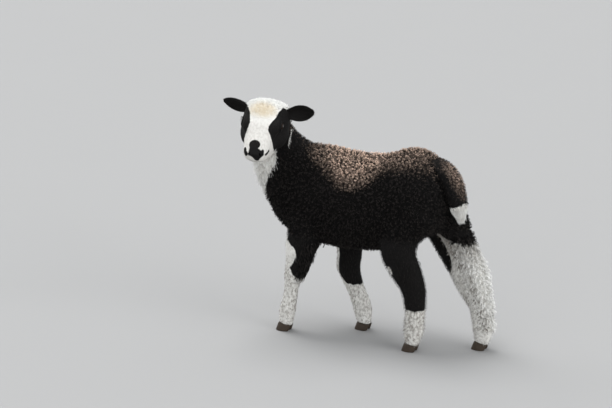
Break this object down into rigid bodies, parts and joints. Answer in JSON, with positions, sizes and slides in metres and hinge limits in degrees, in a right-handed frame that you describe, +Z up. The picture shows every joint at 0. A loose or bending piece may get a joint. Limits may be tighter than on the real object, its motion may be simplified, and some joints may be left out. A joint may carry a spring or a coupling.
{
  "type": "lamb",
  "caption": "Life-size standing lamb with its head turned to its left, black woolly body, white-marked face, legs and tail tip.",
  "frame": {"origin": "on the floor, under the middle of the lamb's bounding box", "axes": "+Z is up, the body lies along X with the chest towards -X and the tail towards +X, and the lamb's left side is towards -Y"},
  "size_m": [0.6624, 0.2836, 0.5865],
  "materials": {
    "black_fleece": "tight woolly curls, black-brown, bleached brown at the tips along the back",
    "white_hair": "short white hair with black markings",
    "black_hair": "short black hair",
    "eye": "wet and glossy",
    "hoof": "dull horn"
  },
  "bodies": {
    "root": {"head": "white_hair", "ear_left": "black_hair", "ear_right": "black_hair", "eye_left": "eye", "eye_right": "eye", "neck": "black_fleece", "forequarters": "black_fleece", "barrel": "black_fleece", "hindquarters": "black_fleece", "tail": "black_fleece", "foreleg_left_upper": "black_fleece", "foreleg_left_lower": "white_hair", "foreleg_right_upper": "black_fleece", "foreleg_right_lower": "white_hair", "hindleg_left_upper": "black_fleece", "hindleg_left_lower": "white_hair", "hindleg_right_upper": "white_hair", "hindleg_right_lower": "white_hair", "hoof_fore_left_outer": "hoof", "hoof_fore_left_inner": "hoof", "hoof_fore_right_outer": "hoof", "hoof_fore_right_inner": "hoof", "hoof_hind_left_outer": "hoof", "hoof_hind_left_inner": "hoof", "hoof_hind_right_outer": "hoof", "hoof_hind_right_inner": "hoof"}
  },
  "joints": []
}
